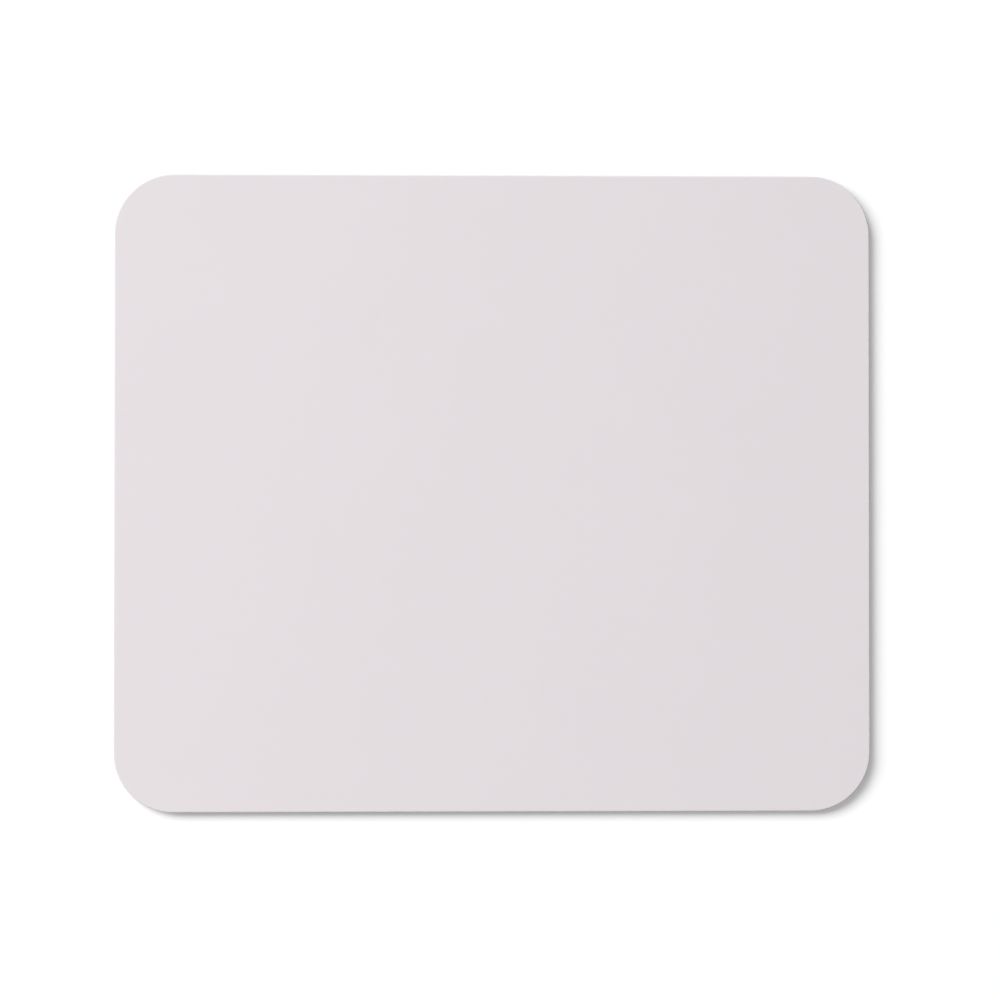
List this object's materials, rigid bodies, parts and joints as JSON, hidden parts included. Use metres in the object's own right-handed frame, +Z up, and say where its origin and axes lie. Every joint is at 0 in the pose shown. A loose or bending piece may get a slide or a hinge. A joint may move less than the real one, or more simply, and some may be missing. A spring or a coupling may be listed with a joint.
{
  "type": "mouse pad",
  "caption": "Flat rectangular mouse pad with round corners: a white knitted cloth face bonded to a black foam-rubber base with a zigzag grip tread underneath.",
  "frame": {"origin": "on the desk, under the middle of the pad", "axes": "+X along the long sides, +Y towards the far long side, +Z up out of the cloth face"},
  "size_m": [0.2414, 0.2032, 0.0032],
  "materials": {
    "cloth": "matte off-white polyester knit",
    "adhesive": "thin cloudy hot-melt film",
    "foam_rubber": "matte black closed-cell foam rubber"
  },
  "bodies": {
    "root": {"rubber_base": "foam_rubber", "bond_film": "adhesive", "cloth_face": "cloth"}
  },
  "joints": []
}
